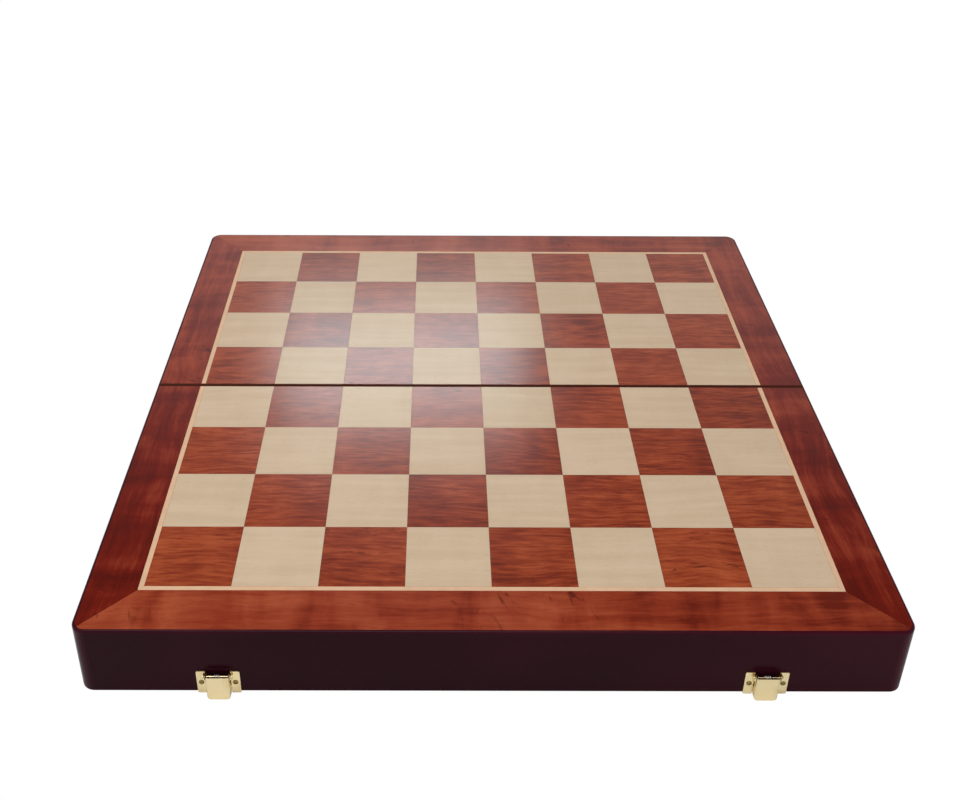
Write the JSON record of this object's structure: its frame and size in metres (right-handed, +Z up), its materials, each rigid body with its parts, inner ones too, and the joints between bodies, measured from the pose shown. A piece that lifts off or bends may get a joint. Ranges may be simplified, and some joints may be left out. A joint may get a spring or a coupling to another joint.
{
  "type": "folding chess box",
  "caption": "Folding chess box: hinged halves open flat into an inlaid board with storage pockets below, and fold shut face to face under spring catches.",
  "frame": {"origin": "under the middle of the fold, on the surface that the open board stands on", "axes": "+X along the fold, +Y away from the half with the catches, +Z up out of the playing face"},
  "size_m": [0.45, 0.4567, 0.0464],
  "materials": {
    "lacquer": "gloss dark red lacquer",
    "rosewood": "figured veneer under gloss lacquer",
    "maple": "pale veneer under gloss lacquer",
    "stringing": "pale peach line under gloss lacquer",
    "felt": "short pile",
    "brass": "polished",
    "steel": "bright"
  },
  "bodies": {
    "near_half": {"near_front_wall": "lacquer", "near_left_wall": "lacquer", "near_right_wall": "lacquer", "near_seam_wall": "lacquer", "near_top_panel": "lacquer", "near_border_front": "rosewood", "near_border_left": "rosewood", "near_border_right": "rosewood", "near_stringing": "stringing", "near_dark_squares": "rosewood", "near_light_squares": "maple", "near_lining": "felt", "near_long_divider": "felt", "near_cross_dividers": "felt", "hinge_left_near_leaf": "brass", "hinge_left_pin": "steel", "hinge_right_near_leaf": "brass", "hinge_right_pin": "steel", "hinge_screws_near": "brass", "catch_left_plate": "brass", "catch_left_pin": "steel", "catch_left_spring": "steel", "catch_right_plate": "brass", "catch_right_pin": "steel", "catch_right_spring": "steel", "catch_screws": "brass"},
    "far_half": {"far_back_wall": "lacquer", "far_left_wall": "lacquer", "far_right_wall": "lacquer", "far_seam_wall": "lacquer", "far_top_panel": "lacquer", "far_border_back": "rosewood", "far_border_left": "rosewood", "far_border_right": "rosewood", "far_stringing": "stringing", "far_dark_squares": "rosewood", "far_light_squares": "maple", "far_lining": "felt", "far_long_divider": "felt", "far_cross_dividers": "felt", "hinge_left_far_leaf": "brass", "hinge_right_far_leaf": "brass", "hinge_screws_far": "brass", "strike_left": "brass", "strike_right": "brass", "strike_screws": "brass"},
    "left_lever": {"catch_left_lever": "brass"},
    "right_lever": {"catch_right_lever": "brass"}
  },
  "joints": [
    {"name": "fold", "type": "hinge", "parent": "near_half", "child": "far_half", "pos_m": [0, 0, 0.00175], "axis": [-1, 0, 0], "range_deg": [0, 180]},
    {"name": "left_catch", "type": "hinge", "parent": "near_half", "child": "left_lever", "pos_m": [-0.1485, -0.2274, 0.0153], "axis": [-1, 0, 0], "range_deg": [0, 60], "stiffness_Nm_per_rad": 0.03, "springref_deg": -34.38},
    {"name": "right_catch", "type": "hinge", "parent": "near_half", "child": "right_lever", "pos_m": [0.1485, -0.2274, 0.0153], "axis": [-1, 0, 0], "range_deg": [0, 60], "stiffness_Nm_per_rad": 0.03, "springref_deg": -34.38}
  ]
}
